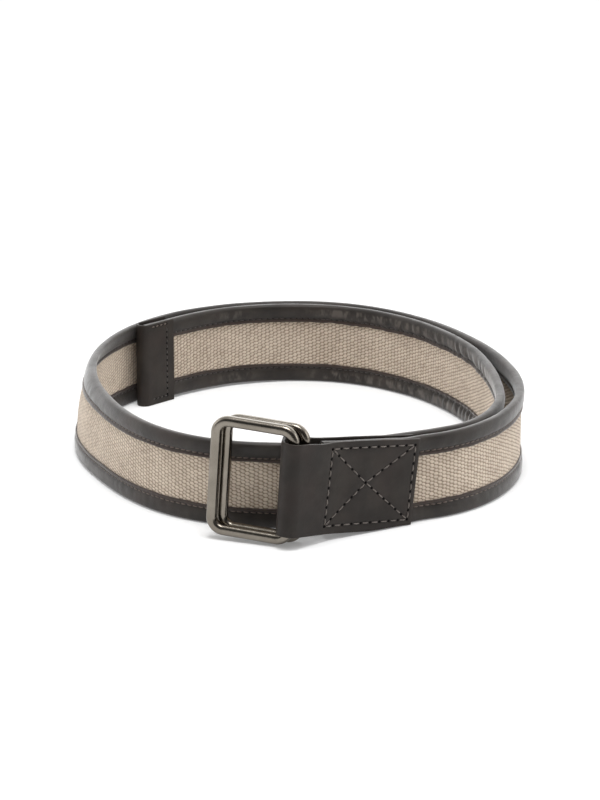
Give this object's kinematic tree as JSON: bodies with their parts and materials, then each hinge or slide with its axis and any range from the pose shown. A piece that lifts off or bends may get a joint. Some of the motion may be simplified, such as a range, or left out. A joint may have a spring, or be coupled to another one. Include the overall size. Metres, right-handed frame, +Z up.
{
  "type": "canvas belt",
  "caption": "Canvas belt with folded leather edges, a stitched leather tab round a pair of rectangular rings and a leather-capped end, standing rolled on its edge.",
  "frame": {"origin": "middle of the rolled belt's footprint, on the surface it stands on", "axes": "+Z up along the strap's width; -Y towards the rings and the tab; +Y towards the back of the roll; +X to the right of a viewer who faces the rings"},
  "size_m": [0.2116, 0.2544, 0.0565],
  "materials": {
    "webbing": "undyed canvas in a coarse basket weave",
    "binding": "soft dark brown-grey leather folded over the canvas's edges",
    "tab": "smooth dark brown-grey leather",
    "tip": "smooth dark brown-grey leather",
    "ring": "smooth antique nickel"
  },
  "bodies": {
    "strap": {"webbing": "webbing", "binding_bottom": "binding", "binding_top": "binding", "tab": "tab", "tip": "tip"},
    "rear_ring": {"ring_rear": "ring"},
    "front_ring": {"ring_front": "ring"}
  },
  "joints": [
    {"name": "rear_ring_swing", "type": "hinge", "parent": "strap", "child": "rear_ring", "pos_m": [-0.00233, -0.12083, 0.02732], "axis": [0.063, 0.0349, 0.9974], "range_deg": [0, 45]},
    {"name": "front_ring_swing", "type": "hinge", "parent": "rear_ring", "child": "front_ring", "pos_m": [-0.00233, -0.12083, 0.02732], "axis": [0.063, 0.0349, 0.9974], "range_deg": [0, 90]}
  ]
}
